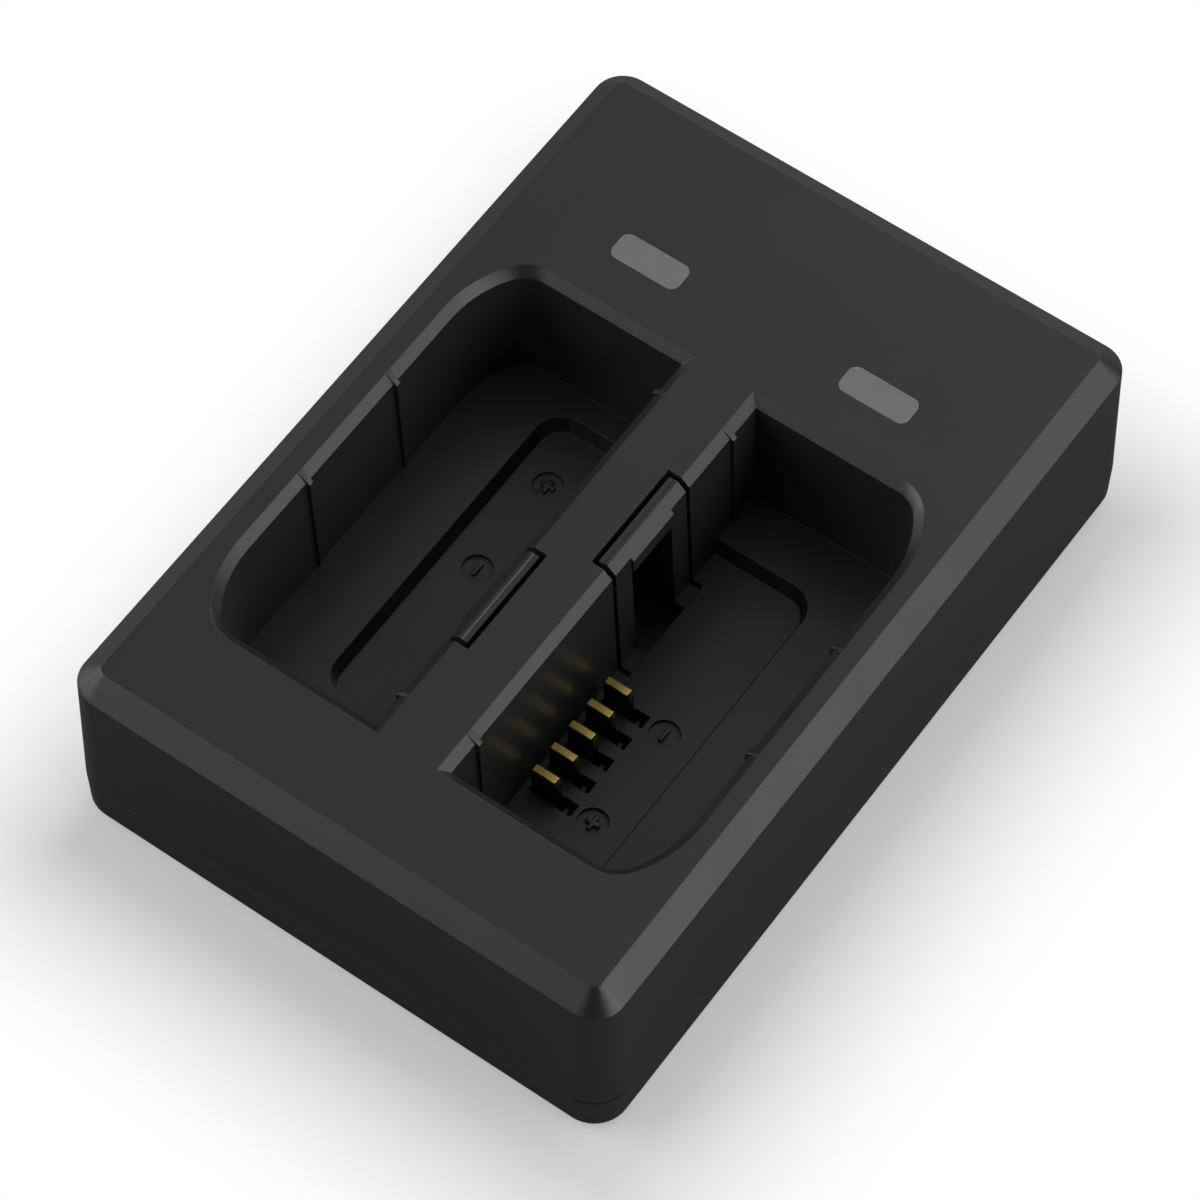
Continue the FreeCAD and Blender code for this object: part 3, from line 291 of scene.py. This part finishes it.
def gridTree():
    # repeats a template over columns and rows, starting where the template itself lies
    tree = bpy.data.node_groups.new("repeatOnGrid", "GeometryNodeTree")
    kinds = {"Template": "NodeSocketObject", "Columns": "NodeSocketInt", "Rows": "NodeSocketInt",
             "Column Step": "NodeSocketVector", "Row Step": "NodeSocketVector",
             "Finish": "NodeSocketMaterial"}
    sockets = {name: tree.interface.new_socket(name, in_out="INPUT", socket_type=kind).identifier
               for name, kind in kinds.items()}
    tree.interface.new_socket("Geometry", in_out="OUTPUT", socket_type="NodeSocketGeometry")
    given = addNode(tree, "NodeGroupInput").outputs
    columns = addNode(tree, "GeometryNodeMeshLine",
                      {"Count": given["Columns"], "Offset": given["Column Step"]})
    rows = addNode(tree, "GeometryNodeMeshLine", {"Count": given["Rows"], "Offset": given["Row Step"]})
    lattice = addNode(tree, "GeometryNodeInstanceOnPoints",
                      {"Points": columns.outputs["Mesh"], "Instance": rows.outputs["Mesh"]})
    points = addNode(tree, "GeometryNodeRealizeInstances", {"Geometry": lattice.outputs["Instances"]})
    template = addNode(tree, "GeometryNodeObjectInfo", {"Object": given["Template"]})
    copies = addNode(tree, "GeometryNodeInstanceOnPoints",
                     {"Points": points.outputs["Geometry"], "Instance": template.outputs["Geometry"]})
    joined = addNode(tree, "GeometryNodeRealizeInstances", {"Geometry": copies.outputs["Instances"]})
    finished = addNode(tree, "GeometryNodeSetMaterial",
                       {"Geometry": joined.outputs["Geometry"], "Material": given["Finish"]})
    addNode(tree, "NodeGroupOutput", {"Geometry": finished.outputs["Geometry"]})
    return tree, sockets


gridNodes, gridSockets = gridTree()


def repeatMesh(name, shape, columns, rows, columnStep, rowStep, slot):
    template = bpy.data.objects.new(name + " template", shape)
    holder = bpy.data.objects.new(name, bpy.data.meshes.new(name))
    for item in (template, holder):
        bpy.context.scene.collection.objects.link(item)
    pattern = holder.modifiers.new("repeat", "NODES")
    pattern.node_group = gridNodes
    amounts = {"Template": template, "Columns": columns, "Rows": rows,
               "Column Step": columnStep, "Row Step": rowStep, "Finish": finishes[slot]}
    for socket, amount in amounts.items():
        pattern[gridSockets[socket]] = amount
    graph = bpy.context.evaluated_depsgraph_get()
    mesh = bpy.data.meshes.new_from_object(holder.evaluated_get(graph), depsgraph=graph)
    holder.modifiers.remove(pattern)
    for item in (template, holder):
        bpy.data.objects.remove(item)
    return mesh


def middleOf(nodeName):
    corners = [Vector(corner) for corner in frame["nodes"][nodeName].bound_box]
    return sum(corners, Vector()) / len(corners)


def stepBetween(first, second):
    return middleOf(second) - middleOf(first)


# a blade keeps the share slim of its thickness, so that it shows a little thinner than its slot, and its foot
# ends in a small upright tip; lengths in millimetres
contactRow = {"count": 5, "edge": 0.04, "slim": 0.8, "tipInset": 0.5, "tipLength": 0.45, "tipWidth": 0.5,
              "tipBottom": 4.5, "tipTop": 5.5}


def contactMesh(nodeName):
    shape = cleanMesh(nodeName)
    middle = middleOf(nodeName)
    outer = max((vert.co.x for vert in shape.vertices), key=abs)
    outward = math.copysign(mm, outer)
    work = bmesh.new()
    work.from_mesh(shape)
    for vert in work.verts:
        vert.co.y = middle.y + (vert.co.y - middle.y) * contactRow["slim"]
    tip = bmesh.ops.create_cube(work, size=1.0)["verts"]
    end = outer - contactRow["tipInset"] * outward
    start = end - contactRow["tipLength"] * outward
    for vert in tip:
        vert.co.x = start if vert.co.x < 0 else end
        vert.co.y = middle.y + vert.co.y * contactRow["tipWidth"] * mm
        vert.co.z = (contactRow["tipBottom"] if vert.co.z < 0 else contactRow["tipTop"]) * mm
    bmesh.ops.recalc_face_normals(work, faces=list({face for vert in tip for face in vert.link_faces}))
    work.to_mesh(shape)
    work.free()
    return shape


# the contact rows take the gold with painted shade below the crowns
shadedGoldFinish = goldWithPaintedShade()
for side in sides:
    names = ["%s_contact_%d" % (side, number + 1) for number in range(contactRow["count"])]
    row = repeatMesh(side + "_contact_row", contactMesh(names[0]), 1, contactRow["count"],
                     (0, 0, 0), stepBetween(names[0], names[1]), "gold_plate")
    piece = placePiece(side + "_contact_row", row, "housing", "gold_plate", *names)
    row.materials[0] = shadedGoldFinish
    softenEdges(piece, contactRow["edge"])
print("contact rows:", len(sides))


def placeAtCorners(name, nodeStem, shape, slot):
    # the shape of the first of four nodes, repeated where the other three stand
    names = ["%s_%d" % (nodeStem, number) for number in (1, 2, 3, 4)]
    mesh = repeatMesh(name, shape, 2, 2, stepBetween(names[0], names[1]),
                      stepBetween(names[0], names[2]), slot)
    return placePiece(name, mesh, "housing", slot, *names)


screw = {"edge": 0.14}
screws = placeAtCorners("cover_screws", "cover_screw", cleanMesh("cover_screw_1"), "plated_steel")
softenEdges(screws, screw["edge"])

# half of the foot's section in millimetres, from the middle of its underside outwards
foot = {"around": 48, "sharp": math.radians(38),
        "section": ((0.9, 0.0), (1.0, 0.12), (1.3, 0.12), (1.4, 0.0), (2.3, 0.0), (2.45, 0.25), (2.85, 0.25),
                    (3.0, 0.0), (3.5, 0.0), (3.78, 0.06), (3.94, 0.22), (4.0, 0.5), (4.0, 1.2))}


def footMesh(place):
    # a moulded foot turned from its section, with two shallow rings in the sole
    work = bmesh.new()
    around = foot["around"]
    rings = []
    for radius, height in foot["section"]:
        ring = []
        for number in range(around):
            angle = 2 * math.pi * number / around
            x = place.x + radius * mm * math.cos(angle)
            y = place.y + radius * mm * math.sin(angle)
            ring.append(work.verts.new((x, y, height * mm)))
        rings.append(ring)
    for inner, outer in zip(rings, rings[1:]):
        for number in range(around):
            following = (number + 1) % around
            work.faces.new((inner[number], inner[following], outer[following], outer[number]))
    for ring in (rings[0], rings[-1]):
        work.faces.new(ring)
    bmesh.ops.recalc_face_normals(work, faces=work.faces)
    for face in work.faces:
        face.smooth = True
    mesh = bpy.data.meshes.new("foot")
    work.to_mesh(mesh)
    work.free()
    mesh.set_sharp_from_angle(angle=foot["sharp"])
    return mesh


placeAtCorners("rubber_feet", "rubber_foot", footMesh(middleOf("rubber_foot_1")), "foot_rubber")
print("screws and feet")

# contact strips on both faces of the inlet's tongue, in millimetres
inletStrips = {"count": 12, "pitch": 0.5, "width": 0.27, "length": 3.6, "proud": 0.03, "fromTip": 0.5,
               "tongueThickness": 0.7}


def boxMesh(name, low, high):
    work = bmesh.new()
    bmesh.ops.create_cube(work, size=1.0)
    for vert in work.verts:
        vert.co = Vector([low[axis] if vert.co[axis] < 0 else high[axis] for axis in range(3)])
    mesh = bpy.data.meshes.new(name)
    work.to_mesh(mesh)
    work.free()
    return mesh


def addInletStrips():
    tongue = [Vector(corner) for corner in frame["nodes"]["inlet_tongue"].bound_box]
    middle = middleOf("inlet_tongue")
    tip = max(corner.y for corner in tongue)
    count, pitch = inletStrips["count"], inletStrips["pitch"] * mm
    start = middle.x - (count - 1) * pitch / 2
    half = inletStrips["width"] * mm / 2
    face = middle.z + inletStrips["tongueThickness"] * mm / 2
    proud = inletStrips["proud"] * mm
    front = tip - inletStrips["fromTip"] * mm
    low = (start - half, front - inletStrips["length"] * mm, face - proud)
    high = (start + half, front, face + proud)
    strips = repeatMesh("inlet_strips", boxMesh("strip", low, high), count, 2,
                        (pitch, 0, 0), (0, 0, -inletStrips["tongueThickness"] * mm), "gold_plate")
    placePiece("inlet_strips", strips, "housing", "gold_plate")


addInletStrips()
print("inlet strips:", 2 * inletStrips["count"])

floorPaint = {
    "colours": ("#ececec", "#f0f0f0"), "broad": (120.0, 2.0),
    "sockets": {"Roughness": 0.9, "Specular IOR Level": 0.1},
    # the paint for all rays but the camera's, greyer than what is seen, so that the object's sides stay dark
    "bounce": "#7c7c7c",
    # the floor turns white outside the shadow, whose outline and fades are in millimetres; the outline is
    # taller than anything here, so that height plays no part
    "shadowMiddle": (3.0, -4.0, 0.0), "shadowHalf": (31.8, 45.5, 1000.0),
    "fadeSeen": (-12.0, 22.0), "fadeReflected": (20.0, 90.0),
    "mirroredWhite": 0.2,  # share of that white which the object's sheen picks up
}


def paintedFloor():
    # matt pale paint that keeps the object's shadow and turns to plain white farther out
    material, tree, shader, where = newMaterial("paintedFloor", floorPaint)
    applyPatterns(tree, shader, floorPaint, addPattern(tree, where, *floorPaint["broad"]))
    baseColour = shader.inputs["Base Color"]
    path = addNode(tree, "ShaderNodeLightPath").outputs
    paint = addNode(tree, "ShaderNodeMix",
                    {0: path["Is Camera Ray"], 6: linearColour(floorPaint["bounce"]),
                     7: baseColour.links[0].from_socket}, data_type="RGBA")
    tree.links.new(paint.outputs[2], baseColour)
    # distance from the rectangle of the shadow
    middle = [length * mm for length in floorPaint["shadowMiddle"]]
    half = [length * mm for length in floorPaint["shadowHalf"]]
    apart = where
    for operation, more in (("SUBTRACT", {1: middle}), ("ABSOLUTE", {}), ("SUBTRACT", {1: half}),
                            ("MAXIMUM", {1: (0, 0, 0)})):
        step = addNode(tree, "ShaderNodeVectorMath", {0: apart, **more}, operation=operation)
        apart = step.outputs["Vector"]
    distance = addNode(tree, "ShaderNodeVectorMath", {0: apart}, operation="LENGTH").outputs["Value"]
    mirrored = addNode(tree, "ShaderNodeMath", {0: path["Is Glossy Ray"], 1: floorPaint["mirroredWhite"]},
                       operation="MULTIPLY").outputs[0]
    reflected = addNode(tree, "ShaderNodeMath", {0: mirrored, 1: path["Is Transmission Ray"]},
                        operation="MAXIMUM").outputs[0]
    shares = []
    for rays, fadeName in ((path["Is Camera Ray"], "fadeSeen"), (reflected, "fadeReflected")):
        start, end = floorPaint[fadeName]
        fade = addNode(tree, "ShaderNodeMapRange",
                       {"Value": distance, "From Min": start * mm, "From Max": end * mm},
                       interpolation_type="SMOOTHSTEP").outputs["Result"]
        shares.append(addNode(tree, "ShaderNodeMath", {0: rays, 1: fade}, operation="MULTIPLY").outputs[0])
    share = addNode(tree, "ShaderNodeMath", {0: shares[0], 1: shares[1]}, operation="MAXIMUM").outputs[0]
    white = addNode(tree, "ShaderNodeEmission", {"Color": (1, 1, 1, 1), "Strength": 1.0}).outputs[0]
    blend = addNode(tree, "ShaderNodeMixShader", {0: share, 1: shader.outputs[0], 2: white})
    tree.links.new(blend.outputs[0], tree.nodes["Material Output"].inputs["Surface"])
    return material


studio = {"floorHalf": 2.5, "worldLevel": 0.01}  # half of the floor's side is in metres
# direction from the object, distance, width and height in metres, level
softboxes = {
    "rearBox": ((0.0, 0.86, 0.50), 0.75, 0.60, 0.40, 1.85),
    "topBox": ((-0.02, 0.45, 0.89), 0.80, 0.90, 0.60, 0.46),
    "overheadBox": ((0.0, -0.15, 1.0), 0.80, 0.60, 0.50, 0.42),
    "rightBox": ((0.78, 0.42, 0.47), 0.75, 0.55, 0.40, 2.05),
    "lowRightBox": ((0.92, -0.05, 0.38), 0.75, 0.45, 0.35, 2.9),
    "leftBox": ((-0.75, -0.45, 0.55), 0.75, 0.50, 0.40, 2.85),
    "lowLeftBox": ((-0.96, -0.08, 0.26), 0.70, 0.45, 0.34, 1.7),
    "nearBox": ((-0.30, -0.75, 0.59), 0.80, 0.50, 0.30, 1.1),
}


def addSoftbox(name, direction, distance, width, height, level):
    lamp = bpy.data.lights.new(name, "AREA")
    lamp.shape = "RECTANGLE"
    lamp.size = width
    lamp.size_y = height
    lamp.energy = level * math.pi * width * height  # at level 1 the box itself is as bright as white
    holder = bpy.data.objects.new(name, lamp)
    bpy.context.scene.collection.objects.link(holder)
    aim = Vector(direction).normalized()
    holder.location = aim * distance
    holder.rotation_euler = aim.to_track_quat("Z", "Y").to_euler()


def setStudio():
    half = studio["floorHalf"]
    corners = [(-half, -half, 0), (half, -half, 0), (half, half, 0), (-half, half, 0)]
    floorMesh = bpy.data.meshes.new("studioFloor")
    floorMesh.from_pydata(corners, [], [(0, 1, 2, 3)])
    floorMesh.materials.append(paintedFloor())
    floor = bpy.data.objects.new("studioFloor", floorMesh)
    bpy.context.scene.collection.objects.link(floor)
    for name, box in softboxes.items():
        addSoftbox(name, *box)
    world = bpy.data.worlds.new("studio")
    world.use_nodes = True
    bpy.context.scene.world = world
    backdrop = world.node_tree.nodes["Background"]
    backdrop.inputs["Color"].default_value = (1, 1, 1, 1)
    backdrop.inputs["Strength"].default_value = studio["worldLevel"]


# position, target, lens and sensor in millimetres, roll in degrees, clipStart in metres
view = {
    "position": (150.43, -213.79, 437.92), "target": (4.397, -7.755, 21.83), "roll": 0.183,
    "lens": 153.19, "sensor": 36.0, "clipStart": 0.01,
}


def setCamera():
    camera = bpy.data.cameras.new("photoCamera")
    camera.lens = view["lens"]
    camera.sensor_width = view["sensor"]
    camera.clip_start = view["clipStart"]
    holder = bpy.data.objects.new("photoCamera", camera)
    bpy.context.scene.collection.objects.link(holder)
    position = Vector(view["position"]) * mm
    back = (position - Vector(view["target"]) * mm).normalized()
    level = Vector((0, 0, 1)).cross(back).normalized()
    upright = back.cross(level)
    roll = math.radians(view["roll"])
    right = math.cos(roll) * level + math.sin(roll) * upright
    turned = Matrix((right, back.cross(right), back)).transposed().to_4x4()
    holder.matrix_world = Matrix.Translation(position) @ turned
    bpy.context.scene.camera = holder


setStudio()
setCamera()
bpy.context.scene.view_settings.view_transform = "Standard"
print("studio and camera")
